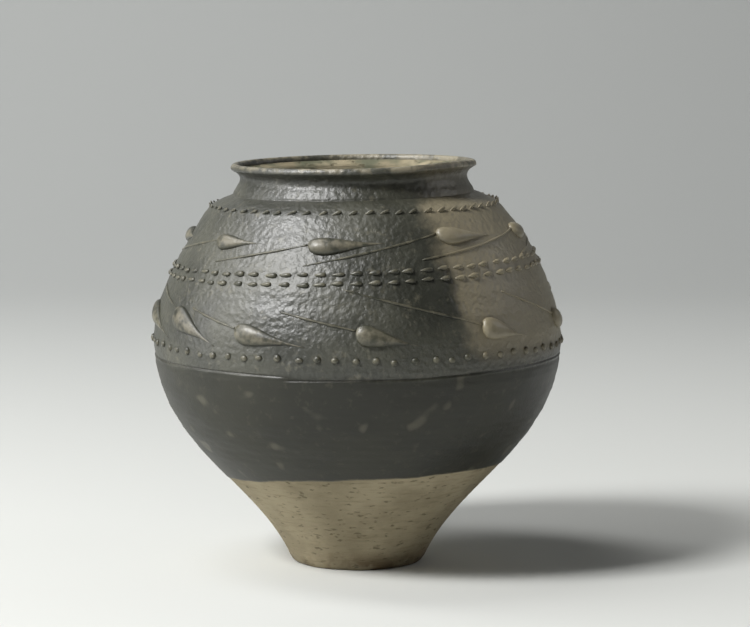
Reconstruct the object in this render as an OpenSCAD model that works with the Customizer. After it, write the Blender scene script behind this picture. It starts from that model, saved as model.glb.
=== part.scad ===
// Wheel-thrown storage jar with a dipped slip coat and trailed slip ornament.
// The origin is the centre of the foot's flat face, +Z is up, and the front faces -Y.

/* [Foot and belly] */
// Diameter of the flat face that the jar stands on
foot_d = 61; // [54:1:72]
// Rounding of the foot's lower edge
foot_round = 1.6; // [0.5:0.1:2.5]
// Lean of the wall from upright where it leaves the foot, in degrees
foot_lean = 22; // [14:1:30]
// How far up the wall keeps that lean
foot_pull = 42; // [30:1:50]
// Largest diameter of the clay at the belly
belly_d = 189; // [170:1:206]
// Height of the belly's widest line
belly_h = 106; // [98:1:112]
// How far below the widest line the wall starts to curve in
belly_pull_low = 51; // [40:1:58]
// How far above the widest line the wall starts to curve in
belly_pull_high = 14.5; // [10:0.5:20]

/* [Shoulder, neck and rim] */
// Diameter at the corner where the shoulder meets the ledge
corner_d = 131.4; // [124:0.2:138]
// Height of that corner
corner_h = 168.2; // [162:0.2:174]
// Length of the rounding on each side of the corner
corner_blend = 1.2; // [0.6:0.1:1.8]
// Lean of the shoulder from upright at the corner, in degrees
shoulder_lean = 41.5; // [36:0.5:50]
// How far down the shoulder keeps that lean
shoulder_pull = 25.5; // [18:0.5:30]
// Diameter at the root of the neck
root_d = 111.4; // [106:0.2:118]
// Rise of the ledge from the corner to the neck's root
ledge_rise = 4.2; // [2:0.1:6]
// Swell of the ledge above a straight slope
ledge_swell = 0.5; // [0:0.1:1]
// Outer diameter at the neck's narrowest line
waist_d = 104.8; // [102:0.2:108]
// How far the neck rises almost upright from its root
neck_upright = 3.6; // [2:0.2:5]
// Height of the neck from its root to the top of the rim
neck_h = 14.3; // [12:0.1:18]
// Outer diameter of the rim
rim_d = 113.4; // [108:0.2:120]
// Thickness of the rounded rim
rim_t = 3.3; // [2.8:0.1:4.4]
// Diameter of the true round throat inside the neck
throat_d = 98; // [94:0.5:99]
// Height of that straight throat
throat_h = 6; // [4:0.5:8]

/* [Walls] */
// Thickness of the wall at the belly and the shoulder
wall_t = 4.2; // [3.4:0.1:5]
// Thickness of the wall near the foot
low_wall_t = 6.5; // [5:0.1:8]
// Thickness of the base
base_t = 7; // [5:0.5:10]

/* [Slip coat] */
// Thickness of the dark slip coat
coat_t = 0.3; // [0.2:0.05:0.5]
// Height of the dip line on the jar's axis
dip_h = 43; // [38:0.5:50]
// Slant of the dip line, in degrees
dip_tilt = 5.2; // [0:0.1:8]
// Where the dip line is highest, in degrees from the front towards the right
dip_turn = 35; // [-180:5:180]
// How far the coat runs down inside the rim
coat_inside = 2; // [1:0.1:3]

/* [Bead rows] */
// Gap under every bead, drop and thread
seat_gap = 0.06; // [0.04:0.01:0.1]
// Beads in the shoulder row
shoulder_count = 60; // [40:1:66]
// Length of a shoulder bead
shoulder_bead_l = 4.8; // [3:0.1:5.6]
// Width of a shoulder bead
shoulder_bead_w = 2.2; // [1.4:0.1:2.8]
// Height of a shoulder bead
shoulder_bead_h = 1.1; // [0.5:0.1:1.6]
// Slant of a shoulder bead against its row, in degrees
shoulder_bead_slant = 24; // [0:1:40]
// How far the shoulder row lies below the corner
shoulder_row_drop = 0.3; // [0:0.1:2]
// Beads in each row of the double row
double_count = 66; // [50:1:70]
// Length of a bead of the double row
double_bead_l = 5.6; // [4:0.1:6.2]
// Width of a bead of the double row
double_bead_w = 2.6; // [1.8:0.1:3]
// Height of a bead of the double row
double_bead_h = 1.3; // [0.6:0.1:1.8]
// Slant of a bead of the double row, in degrees
double_bead_slant = 4; // [0:1:15]
// How far the upper row of the two lies below the corner
upper_row_drop = 25.6; // [24:0.2:28]
// Distance between the two rows
double_row_gap = 4.2; // [3.8:0.1:5.4]
// How much higher the double row runs on the right than on its axis
double_row_tilt = 2.5; // [0:0.1:3]
// Beads in the belly row
belly_count = 68; // [50:1:80]
// Diameter of a belly bead
belly_bead_d = 3.4; // [2:0.1:4]
// Height of a belly bead
belly_bead_h = 1.2; // [0.6:0.1:1.6]
// How far the belly row lies below the widest line
belly_row_drop = 0.8; // [0:0.1:3]

/* [Trailed drops] */
// Middle of the upper band of drops below the corner
upper_band_drop = 12.5; // [11.5:0.5:14]
// Middle of the lower band of drops above the widest line
lower_band_rise = 11; // [10:0.5:13]
// Half the width of an upper drop
upper_drop_w = 4.3; // [3:0.1:4.8]
// Half the width of a lower drop
lower_drop_w = 5; // [3.5:0.1:5.4]
// How far a drop stands proud of the coat
drop_proud = 2.9; // [1.5:0.1:4]
// How fast a drop narrows from its nose to its tail
drop_taper = 2.25; // [1.5:0.05:3]
// Half the width of a thread
thread_w = 0.7; // [0.4:0.05:1]
// How far a thread stands proud of the coat
thread_proud = 0.65; // [0.3:0.05:1]
// Bare length between a thread's end and the nose of its drop
thread_end_gap = 0.3; // [0.1:0.1:1]

/* [Hidden] */
$fn = 180;
foot_r = foot_d / 2;
belly_r = belly_d / 2;
corner_r = corner_d / 2;
root_r = root_d / 2;
root_h = corner_h + ledge_rise;
rim_r = rim_d / 2;
rim_round = rim_t / 2;
rim_h = root_h + neck_h;
throat_r = throat_d / 2;
// Points along each curve of the profile
LOW_STEPS = 24;
HIGH_STEPS = 14;
NECK_STEPS = 6;
ROUND_STEPS = 5;
CORNER_STEPS = 4;
// Rings along a drop and a thread
DROP_RINGS = 11;
THREAD_RINGS = 12;
// Flat sides across the domed top of each kind of trailed slip
DROP_SIDES = 6;
THREAD_SIDES = 2;
BEAD_SIDES = 2;
BUTTON_SIDES = 3;

// A point at share t along the cubic curve with handles p
function cubic(p, t) =
    pow(1 - t, 3) * p[0] + 3 * pow(1 - t, 2) * t * p[1] + 3 * (1 - t) * t * t * p[2] + pow(t, 3) * p[3];
// The curve as n + 1 points
function curve(p, n) = [for (i = [0:n]) cubic(p, i / n)];
// Unit vector across the direction v, to its right
function across(v) = [v[1], -v[0]] / norm(v);
// The list without its first item
function rest(p) = [for (i = [1:len(p) - 1]) p[i]];
// The list backwards
function reversed(p) = [for (i = [len(p) - 1:-1:0]) p[i]];

// Outside of the clay, as curves in (radius, height), from the foot to the rim
LOW = [
    [foot_r, 0],
    [foot_r + foot_pull * sin(foot_lean), foot_pull * cos(foot_lean)],
    [belly_r, belly_h - belly_pull_low],
    [belly_r, belly_h]];
corner = [corner_r, corner_h];
root = [root_r, root_h];
shoulder_way = [sin(shoulder_lean), -cos(shoulder_lean)];
HIGH = [
    [belly_r, belly_h],
    [belly_r, belly_h + belly_pull_high],
    corner + shoulder_pull * shoulder_way,
    corner + corner_blend * shoulder_way];
ledge_way = (root - corner) / norm(root - corner);
CORNER = [
    HIGH[3],
    corner + corner_blend / 3 * shoulder_way,
    corner + corner_blend / 3 * ledge_way,
    corner + corner_blend * ledge_way];
ledge_middle = (corner + root) / 2 + [0, ledge_swell];
// The middle of the rim's rounding, and the angle at which the neck runs into it
rim_centre = [rim_r - rim_round, rim_h - rim_round];
RIM_START = -20;
function rim_point(a) = rim_centre + rim_round * [cos(a), sin(a)];
rim_under = rim_point(RIM_START);
// Handles of the neck, which stands up from its root, draws in to the waist and flares to the rim
NECK_DRAFT = 0.15;
WAIST_AT = 0.6;
neck_low = root + neck_upright * [-NECK_DRAFT, 1];
neck_in = (waist_d / 2 - pow(1 - WAIST_AT, 3) * root_r - 3 * pow(1 - WAIST_AT, 2) * WAIST_AT * neck_low[0]
    - pow(WAIST_AT, 3) * rim_under[0]) / (3 * (1 - WAIST_AT) * pow(WAIST_AT, 2));
NECK = [root, neck_low, [neck_in, root_h + neck_h * 0.57], rim_under];

low_points = curve(LOW, LOW_STEPS);
high_points = curve(HIGH, HIGH_STEPS);
outside = concat(
    low_points,
    rest(high_points),
    rest(curve(CORNER, CORNER_STEPS)),
    [ledge_middle, root],
    rest(curve(NECK, NECK_STEPS)),
    [for (i = [1:2 * ROUND_STEPS]) rim_point(RIM_START + i * (180 - RIM_START) / (2 * ROUND_STEPS))]);

// Inside of the clay, from the rim down to the middle of the base
rim_inner = rim_point(180);
throat_top = rim_h - neck_h * 0.36;
throat_low = throat_top - throat_h;
throat_edge = [throat_r, throat_top];
// Thickness of the lower wall at share t of the way from the foot to the belly
function low_wall(t) = wall_t + (low_wall_t - wall_t) * pow(1 - t, 2);
function inset(p, t, n, wall) =
    let (d = cubic(p, min(1, t + 0.5 / n)) - cubic(p, max(0, t - 0.5 / n))) cubic(p, t) - wall * across(d);
high_inside = [for (i = [0:HIGH_STEPS]) inset(HIGH, i / HIGH_STEPS, HIGH_STEPS, wall_t)];
low_inside = [for (i = [0:LOW_STEPS - 1]) inset(LOW, i / LOW_STEPS, LOW_STEPS, low_wall(i / LOW_STEPS))];
// Where the wall's inside reaches the floor, and the rounding between them
FLOOR_ROUND = 5;
low_open = [for (p = low_inside) if (p[1] > base_t + FLOOR_ROUND) p];
floor_handle = low_open[0] - [FLOOR_ROUND * 0.8, FLOOR_ROUND];
inner_floor = [
    [floor_handle[0] - FLOOR_ROUND, base_t],
    [floor_handle[0], base_t],
    [low_open[0][0] - FLOOR_ROUND * 0.35, base_t + FLOOR_ROUND * 0.55],
    low_open[0]];
shoulder_inner = high_inside[HIGH_STEPS];
INNER_LEDGE = [
    [throat_r, throat_low],
    [throat_r, throat_low - 3.2],
    shoulder_inner + [-6, 2.6],
    shoulder_inner];
inside = concat(
    [throat_edge, [throat_r, throat_low]],
    rest(curve(INNER_LEDGE, NECK_STEPS)),
    rest(reversed(high_inside)),
    reversed(low_open),
    rest(reversed(curve(inner_floor, ROUND_STEPS))),
    [[0, base_t]]);

// The foot's lower edge, rounded between the flat face and the wall
foot_edge = [
    [foot_r - foot_round, 0],
    [foot_r - foot_round * 0.3, foot_round * 0.12],
    [cubic(LOW, 0.5 / LOW_STEPS)[0], foot_round * 1.1]];
body_outline = concat(
    [[0, 0]],
    foot_edge,
    [for (i = [0:len(outside) - 1]) if (i > 0) outside[i]],
    inside);

// Each point of a path moved off to its right by t, mitred at the corners
function beside(p, t) = [for (i = [0:len(p) - 1])
    let (
        a = across(p[i] - p[max(0, i - 1)] + (i == 0 ? p[1] - p[0] : [0, 0])),
        b = across(p[min(len(p) - 1, i + 1)] - p[i] + (i == len(p) - 1 ? p[i] - p[i - 1] : [0, 0])),
        m = (a + b) / norm(a + b))
    p[i] + m * t / (m * a)];

// The coat's path, from a little below the dip line over the rim
COAT_SPARE = 6;
coat_from = dip_h - belly_r * tan(dip_tilt);
rim_way = (throat_edge - rim_inner) / norm(throat_edge - rim_inner);
coat_path = concat(
    [for (p = outside) if (p[1] > coat_from - COAT_SPARE) p],
    [rim_inner + coat_inside * rim_way]);
coat_outer = beside(coat_path, coat_t);

// Radius of the coat's outside at height z, taken from the points of the shell itself
coat_table = [for (p = coat_outer) if (p[1] < root_h - 0.5) [p[1], p[0]]];
function coat_r(z) = lookup(z, coat_table);
function wall_slope(z) = (coat_r(z + 0.4) - coat_r(z - 0.4)) / 0.8;
// A point at angle a from the front and height z, standing proud of the coat by h
function on_wall(a, z, h) =
    let (n = [1, -wall_slope(z)] / norm([1, wall_slope(z)]), r = coat_r(z) + h * n[0])
    [r * sin(a), -r * cos(a), z + h * n[1]];

// Small unevenness of a hand-made row, between -1 and 1
function uneven(i, k) = sin(i * (97 + 26 * k)) * cos(i * (41 + 12 * k));

// Shapes of trailed slip, each as [share of the length, share of the full width and height]
drop_peak = 1 / (2 * drop_taper + 1);
DROP = [for (i = [1:DROP_RINGS])
    let (t = pow(i / (DROP_RINGS + 1), 1.5))
    [t, sqrt(t / drop_peak) * pow((1 - t) / (1 - drop_peak), drop_taper)]];
THREAD = [for (i = [1:THREAD_RINGS]) let (t = i / (THREAD_RINGS + 1)) [t, pow(4 * t * (1 - t), 0.25)]];
BEAD = [[0.28, 0.66], [0.68, 1], [0.93, 0.66]];
BUTTON = [for (t = [0.12, 0.5, 0.88]) [t, 2 * sqrt(t * (1 - t))]];

// One ring of a trail: a dome over n flat sides and a base that follows the wall.
// f is the direction of the trail, in millimetres round the jar and up the wall.
function trail_ring(c, f, w, h, n) =
    let (rise = norm([1, wall_slope(c[1])]), turn = 180 / (PI * coat_r(c[1])))
    [for (j = [0:2 * n - 1])
        let (u = w * cos(180 * j / n), up = j < n ? h * sin(180 * j / n) : 0)
        on_wall(c[0] - f[1] * u * turn, c[1] + f[0] * u / rise, seat_gap + up)];

// Points of a trail from p to q, each [angle, height], with its tips
function trail_points(p, q, w, h, shape, n) =
    let (
        c = (p + q) / 2,
        way = [(q[0] - p[0]) * PI / 180 * coat_r(c[1]), (q[1] - p[1]) * norm([1, wall_slope(c[1])])],
        f = way / norm(way))
    concat(
        [on_wall(p[0], p[1], seat_gap)],
        [for (s = shape) each trail_ring(p + (q - p) * s[0], f, w * s[1], h * s[1], n)],
        [on_wall(q[0], q[1], seat_gap)]);

// Faces of a trail of m rings, whose points start at number k
function trail_faces(m, n, k) =
    let (side = 2 * n, last = k + m * side + 1)
    concat(
        [for (j = [0:side - 1]) [k, k + 1 + j, k + 1 + (j + 1) % side]],
        [for (i = [0:m - 2], j = [0:side - 1])
            let (a = k + 1 + i * side, b = (j + 1) % side)
            each [[a + j, a + side + j, a + side + b], [a + j, a + side + b, a + b]]],
        [for (j = [0:side - 1]) [last, last - side + (j + 1) % side, last - side + j]]);

// Several trails of one shape as one set of separate closed solids
module trails(ends, w, h, shape, n) {
    size = len(shape) * 2 * n + 2;
    polyhedron(
        [for (e = ends) each trail_points(e[0], e[1], w, h, shape, n)],
        [for (i = [0:len(ends) - 1]) each trail_faces(len(shape), n, i * size)]);
}

// The two ends of each bead of a row: l long, slanting, on a line that tilts and wanders
function bead_ends(count, z, l, slant, tilt, wander, k) = [for (i = [0:count - 1])
    let (
        a = (i + 0.12 * uneven(i, k)) * 360 / count,
        c = [a, z + tilt * sin(a) + wander * uneven(i, k + 1)],
        half = l / 2 * (1 + 0.12 * uneven(i, k + 2)),
        v = [half * cos(slant) * 180 / (PI * coat_r(c[1])), half * sin(slant) / norm([1, wall_slope(c[1])])])
    [c - v, c + v]];

// Upper strokes, by angle from the front and height from the band's middle:
// [thread start, its height, nose, its height, tail, its height, share of the full size]
UPPER = [
    [-132, -10, -97, -1, -74, -1.5, 0.95],
    [-92, -9.5, -54, -0.5, -33, -1, 0.95],
    [-51, -10, -16, -1, 12, -0.5, 1],
    [-17, -10, 29, 2.5, 54, 0, 1],
    [21, -8, 70, 1, 95, -1, 0.95],
    [66, -9.5, 111, 1, 136, -1, 0.95],
    [109, -10, 150, 0, 174, -1, 1],
    [148, -9.5, 189, 1, 214, -0.5, 0.95],
    [187, -9, 227, 0.5, 251, -1, 1]];
// Lower strokes, in the same form
LOWER = [
    [-112, 15, -88, 4.5, -65, -7.5, 0.9],
    [-83, 14.5, -62, 5.5, -42, -8, 1.05],
    [-54, 7.5, -35, 0.5, -14, -6, 0.95],
    [-22, 9, 0, 1.5, 17, -5.5, 0.95],
    [-4, 19, 37, 2.5, 54, -5, 1],
    [47, 15.5, 74, 2, 93, -7, 0.95],
    [84, 14.5, 108, 3, 127, -6, 0.95],
    [115, 15, 141, 2, 159, -6, 1],
    [147, 14.5, 173, 3.5, 192, -6.5, 0.95],
    [180, 15, 205, 2, 223, -6, 1],
    [212, 14.5, 238, 3, 257, -6, 0.95]];
double_row_h = corner_h - upper_row_drop;
upper_middle = corner_h - upper_band_drop;
lower_middle = belly_h + lower_band_rise;

module drop(s, middle, w)
    trails([[[s[2], middle + s[3]], [s[4], middle + s[5]]]], w * s[6], drop_proud * s[6], DROP, DROP_SIDES);

module thread(s, middle) {
    nose = [s[2], middle + s[3]];
    start = [s[0], middle + s[1]];
    run = norm([(nose[0] - start[0]) * PI / 180 * coat_r(middle), nose[1] - start[1]]);
    trails([[start, nose - (nose - start) * thread_end_gap / run]], thread_w, thread_proud, THREAD, THREAD_SIDES);
}

module thrown_body() color("#8d8676") rotate_extrude() polygon(body_outline);

module slip_coat() color("#55554b")
    difference() {
        rotate_extrude() polygon(concat(coat_path, reversed(coat_outer)));
        rotate([0, 0, dip_turn])
            translate([0, 0, dip_h])
                rotate([-dip_tilt, 0, 0])
                    translate([-belly_d, -belly_d, -2 * belly_d])
                        cube(2 * belly_d);
    }

module shoulder_beads() color("#77766a")
    trails(
        bead_ends(shoulder_count, corner_h - shoulder_row_drop, shoulder_bead_l, shoulder_bead_slant, 0, 0.2, 1),
        shoulder_bead_w / 2, shoulder_bead_h, BEAD, BEAD_SIDES);

module double_beads_upper() color("#6d6c60")
    trails(
        bead_ends(double_count, double_row_h, double_bead_l, double_bead_slant, double_row_tilt, 0.3, 2),
        double_bead_w / 2, double_bead_h, BEAD, BEAD_SIDES);

module double_beads_lower() color("#6d6c60")
    trails(
        bead_ends(double_count, double_row_h - double_row_gap, double_bead_l, double_bead_slant,
            double_row_tilt, 0.3, 3),
        double_bead_w / 2, double_bead_h, BEAD, BEAD_SIDES);

module belly_beads() color("#66665b")
    trails(
        bead_ends(belly_count, belly_h - belly_row_drop, belly_bead_d, 0, 0, 0.8, 4),
        belly_bead_d / 2, belly_bead_h, BUTTON, BUTTON_SIDES);

module upper_drop(i) color("#8a8474") drop(UPPER[i], upper_middle, upper_drop_w);
module upper_thread(i) color("#7d786a") thread(UPPER[i], upper_middle);
module lower_drop(i) color("#8a8474") drop(LOWER[i], lower_middle, lower_drop_w);
module lower_thread(i) color("#7d786a") thread(LOWER[i], lower_middle);

thrown_body();
slip_coat();
shoulder_beads();
double_beads_upper();
double_beads_lower();
belly_beads();
for (i = [0:len(UPPER) - 1]) {
    upper_drop(i);
    upper_thread(i);
}
for (i = [0:len(LOWER) - 1]) {
    lower_drop(i);
    lower_thread(i);
}
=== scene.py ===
"""A wheel-thrown jar, dipped in dark slip and trailed with beads, threads and drops, over its CAD part.

Every piece is a surface worked out from the part's own curves, as a function of two parameters on a grid.
Lengths are in millimetres until they reach a mesh. Angles are in degrees round the jar, from its front,
positive to the right.
"""
import math

import bpy
import numpy as np
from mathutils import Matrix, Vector


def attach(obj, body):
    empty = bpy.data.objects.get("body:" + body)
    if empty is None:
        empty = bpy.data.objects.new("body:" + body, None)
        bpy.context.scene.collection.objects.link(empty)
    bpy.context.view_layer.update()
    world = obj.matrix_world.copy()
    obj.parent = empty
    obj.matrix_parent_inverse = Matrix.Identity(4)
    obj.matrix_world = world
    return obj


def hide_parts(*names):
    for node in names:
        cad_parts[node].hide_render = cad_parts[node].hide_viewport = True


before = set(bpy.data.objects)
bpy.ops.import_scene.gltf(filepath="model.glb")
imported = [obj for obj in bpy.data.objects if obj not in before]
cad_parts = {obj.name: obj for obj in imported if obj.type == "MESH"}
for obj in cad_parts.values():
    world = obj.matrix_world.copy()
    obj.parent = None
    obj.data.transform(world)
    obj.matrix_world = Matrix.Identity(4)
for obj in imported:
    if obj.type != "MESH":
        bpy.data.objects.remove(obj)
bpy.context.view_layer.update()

bl_info = {
    "name": "Slip-trailed Jar",
    "version": (1, 0, 0),
    "blender": (4, 0, 0),
    "location": "View3D > Sidebar > Jar",
    "description": "Builds the jar's visible surfaces and materials over its CAD frame",
    "category": "Add Mesh",
}

MM = 0.001

# The part's sizes, as in its source
FOOT_D, FOOT_ROUND, FOOT_LEAN, FOOT_PULL = 61.0, 1.6, 22.0, 42.0
BELLY_D, BELLY_H, BELLY_PULL_LOW, BELLY_PULL_HIGH = 189.0, 106.0, 51.0, 14.5
CORNER_D, CORNER_H, CORNER_BLEND = 131.4, 168.2, 1.2
SHOULDER_LEAN, SHOULDER_PULL = 41.5, 25.5
ROOT_D, ROOT_H, LEDGE_SWELL = 111.4, 172.4, 0.5
WAIST_D, WAIST_AT, WAIST_RISE = 104.8, 0.6, 0.57
NECK_UPRIGHT, NECK_H, NECK_DRAFT = 3.6, 14.3, 0.15
RIM_D, RIM_T, RIM_START = 113.4, 3.3, -20.0
THROAT_D, THROAT_TOP, THROAT_LOW = 98.0, 181.552, 175.552
WALL_T, LOW_WALL_T, BASE_T = 4.2, 6.5, 7.0
COAT_T, COAT_INSIDE = 0.3, 2.0
DIP_H, DIP_TILT, DIP_TURN, DIP_R = 43.0, 5.2, 35.0, 66.0
DROP_PROUD, DROP_TAPER = 2.9, 2.25
THREAD_W, THREAD_PROUD = 0.7, 0.65

# Each stroke: its thread's start, its nose and its tail, as angle and height from the band's middle, and its
# share of the full size
UPPER = (
    (-132, -10, -97, -1, -74, -1.5, 0.95),
    (-92, -9.5, -54, -0.5, -33, -1, 0.95),
    (-51, -10, -16, -1, 12, -0.5, 1),
    (-17, -10, 29, 2.5, 54, 0, 1),
    (21, -8, 70, 1, 95, -1, 0.95),
    (66, -9.5, 111, 1, 136, -1, 0.95),
    (109, -10, 150, 0, 174, -1, 1),
    (148, -9.5, 189, 1, 214, -0.5, 0.95),
    (187, -9, 227, 0.5, 251, -1, 1),
)
LOWER = (
    (-112, 15, -88, 4.5, -65, -7.5, 0.9),
    (-83, 14.5, -62, 5.5, -42, -8, 1.05),
    (-54, 7.5, -35, 0.5, -14, -6, 0.95),
    (-22, 9, 0, 1.5, 17, -5.5, 0.95),
    (-4, 19, 37, 2.5, 54, -5, 1),
    (47, 15.5, 74, 2, 93, -7, 0.95),
    (84, 14.5, 108, 3, 127, -6, 0.95),
    (115, 15, 141, 2, 159, -6, 1),
    (147, 14.5, 173, 3.5, 192, -6.5, 0.95),
    (180, 15, 205, 2, 223, -6, 1),
    (212, 14.5, 238, 3, 257, -6, 0.95),
)
# Each band: its name, its strokes, its middle's height and the half width of a full drop
BANDS = (("upper", UPPER, 155.7, 4.3), ("lower", LOWER, 117.0, 5.0))
# Each bead row: its node, count, height, length, half width, how proud it stands, slant, tilt of the row,
# wander, and the order of its unevenness
BEAD_ROWS = (
    ("shoulder_beads", 60, 167.9, 4.8, 1.1, 1.1, 24.0, 0.0, 0.2, 1),
    ("double_beads_upper", 66, 142.6, 5.6, 1.3, 1.3, 4.0, 2.5, 0.3, 2),
    ("double_beads_lower", 66, 138.4, 5.6, 1.3, 1.3, 4.0, 2.5, 0.3, 3),
    ("belly_beads", 68, 105.2, 3.4, 1.7, 1.2, 0.0, 0.0, 0.8, 4),
)
ROUND_ROW = 4
# The incised guide line's way round the jar, as angle and height; its two ends pass each other at the front
GUIDE = (
    (-22, 96.0),
    (-8, 96.5),
    (16, 96.9),
    (38, 98.4),
    (67, 99.0),
    (150, 99.6),
    (230, 99.2),
    (285, 98.3),
    (342, 97.7),
)
GUIDE_MIDDLE, GUIDE_LOWEST, GUIDE_HIGHEST = 97.8, 90, 105
GUIDE_DEPTH, GUIDE_HALF, GUIDE_FADE, GUIDE_SWAY, GUIDE_SWAYS = 0.42, 0.42, 4, 0.12, 7
GUIDE_BURR, GUIDE_BURR_BELOW = 0.14, 2.1

# The unevenness of hand throwing, which the turned solids leave out
TILT_RISE, TILT_R, TILT_FROM, TILT_OVER = 0.95, 57, 120, 50
LIP_RISE, LIP_AT, LIP_SPREAD, LIP_FROM, LIP_OVER = 1.1, 54.0, 26, 176, 8
LEAN, LEAN_FROM, LEAN_OVER = 1.75, 148, 24
RIDGE_DEPTH, RIDGE_WAVE = 0.28, 1.05
RING_DEPTH, RING_WAVE, RING_SWAY = 0.045, 2.1, 0.6
UNDER_LIFT, WIRE_DEPTH, WIRE_WAVE, WIRE_BOW = 0.12, 0.08, 1.6, 0.012
# Each set of waves round the jar: how many, their size and their phase
FOOT_WAVES = ((3, 0.28, 1.2), (7, 0.22, 0.0), (17, 0.14, 2.0))
DIP_WAVES = ((5, 0.25, 15.7), (11, 0.18, 25.9), (23, 0.12, 46.3))
FOOT_WAVES_TOP = 5
# Each span of height: where it starts and the length of its step up, where it ends and the step down
RIDGE_SPAN = (12, 8, 165, 20)
RING_SPAN = (0, 4, 60, 10)
RELIEF_SPAN = (48, 10, 182, 8)
RELIEF_SHARE = 0.8
# How far the clay lies under the coat, and how it sinks there above the dip line
HIDDEN_DEPTH, HIDDEN_FROM, HIDDEN_OVER = 0.6, 2, 3

# How finely the surfaces are cut
BODY_ROWS, UNDER_ROWS, POLE_R, NECK_ROWS, THREAD_SIDES, BEAD_SIDES = 170, 9, 2, 74, 10, 8

# Where the colours and the painted light and shade change, in metres: from and to
# Inside the neck the clay gets a grey mottling, darkened further with painted shade in the hollow.
THROAT_SHADE_Z, FOOT_DIRT_Z, WORN_RIM_Z = (0.150, 0.172), (0.012, 0.0), (0.1835, 0.1868)
# The tan patch on the right: partly fire-flashing, partly painted sheen of the light from the right
FLASH_AND_SHEEN_X, FLASH_AND_SHEEN_Z, FLASH_AND_SHEEN_TOP_Z = (0.036, 0.047), (0.098, 0.112), (0.170, 0.177)
FLASH_AND_SHEEN_MIDDLE_Z, FLASH_AND_SHEEN_SLANT, FLASH_AND_SHEEN_RAG = 0.14, 0.35, 0.022
# Below the guide line the coat is darkened with painted shade, where the belly turns downward.
BELOW_GUIDE_Z, BELOW_GUIDE_RAG = (0.099, 0.0955), 0.25
# How far from the dip line the slip is thin, in millimetres: from and to, and how ragged that is
THIN_EDGE, THIN_EDGE_RAG = (0.9, 2.6), 1.6

# Each lamp: its name, place, aim, width and height in metres, and its power in watts
LAMPS = (
    ("key", (-1.15, -0.8, 1.5), (0, 0, 0.09), 0.5, 0.5, 44),
    ("left_panel", (-1.5, -0.15, 0.55), (0, 0, 0.1), 0.9, 0.9, 9),
    ("front", (-0.6, -2.0, 1.3), (0, 0, 0.1), 1.2, 0.8, 1.2),
    ("rim_light", (1.5, 0.3, 0.8), (0, 0, 0.12), 0.7, 0.7, 2.5),
    ("wall_light", (-1.2, 0.6, 2.2), (0.2, 2.6, 0.6), 2.0, 1.0, 38),
)
SKY_STRENGTH = 0.025
# The camera: its lens and sensor, its place beside and above the floor, and how far it looks down
LENS, SENSOR_WIDTH, CAMERA_SIDE, CAMERA_UP, CAMERA_DOWN = 150.12, 36.0, 0.0082, 0.276, 6.30


# The profile
def unit(v):
    """The vector over its own length."""
    return np.asarray(v, float) / np.linalg.norm(v)


def smooth(x):
    """0 below 0, 1 above 1 and 3 x squared less 2 x cubed between."""
    x = np.clip(x, 0, 1)
    return x * x * (3 - 2 * x)


def faded(z, start, start_over, end, end_over):
    """1 over a span of height, with a smooth step up at its start and a smooth step down at its end."""
    return smooth((z - start) / start_over) * smooth((end - z) / end_over)


def round_waves(angle, waves):
    """Closed waves round the jar: a sum of sines of the angle, each with its count, size and phase."""
    a = np.radians(angle)
    return sum(size * np.sin(count * a + phase) for count, size, phase in waves)


def cubic(p, n):
    """A cubic Bezier curve through four control points, at n + 1 even steps."""
    t = np.linspace(0, 1, n + 1)[:, None]
    p = np.asarray(p, float)
    return (1 - t) ** 3 * p[0] + 3 * (1 - t) ** 2 * t * p[1] + 3 * (1 - t) * t**2 * p[2] + t**3 * p[3]


def normals_of(p):
    """Each point's unit normal: its direction of travel turned a quarter to the right, outwards going up."""
    way = np.gradient(p, axis=0)
    way /= np.linalg.norm(way, axis=1)[:, None]
    return np.stack([way[:, 1], -way[:, 0]], -1)


CORNER, ROOT = np.array([CORNER_D / 2, CORNER_H]), np.array([ROOT_D / 2, ROOT_H])
RIM_CENTRE = np.array([RIM_D / 2 - RIM_T / 2, ROOT_H + NECK_H - RIM_T / 2])
SHOULDER_WAY = np.array([math.sin(math.radians(SHOULDER_LEAN)), -math.cos(math.radians(SHOULDER_LEAN))])
LEDGE_WAY = unit(ROOT - CORNER)


def low_curve():
    """The control points from the foot to the belly."""
    lean, foot = math.radians(FOOT_LEAN), FOOT_D / 2
    return [
        [foot, 0],
        [foot + FOOT_PULL * math.sin(lean), FOOT_PULL * math.cos(lean)],
        [BELLY_D / 2, BELLY_H - BELLY_PULL_LOW],
        [BELLY_D / 2, BELLY_H],
    ]


def high_curve():
    """The control points from the belly to the shoulder's corner."""
    return [
        [BELLY_D / 2, BELLY_H],
        [BELLY_D / 2, BELLY_H + BELLY_PULL_HIGH],
        CORNER + SHOULDER_PULL * SHOULDER_WAY,
        CORNER + CORNER_BLEND * SHOULDER_WAY,
    ]


def rim_point(degrees):
    """The point of the rim's round section at an angle from outwards."""
    c, s = math.cos(math.radians(degrees)), math.sin(math.radians(degrees))
    return RIM_CENTRE + RIM_T / 2 * np.array([c, s])


def neck_curve():
    """The control points from the neck's root to the rim, with the third placed so that the waist is true."""
    w, u = WAIST_AT, 1 - WAIST_AT
    low, under = ROOT + NECK_UPRIGHT * np.array([-NECK_DRAFT, 1]), rim_point(RIM_START)
    known = u**3 * ROOT[0] + 3 * u * u * w * low[0] + w**3 * under[0]
    waist_pull = (WAIST_D / 2 - known) / (3 * u * w * w)
    return [ROOT, low, [waist_pull, ROOT_H + NECK_H * WAIST_RISE], under]


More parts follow.
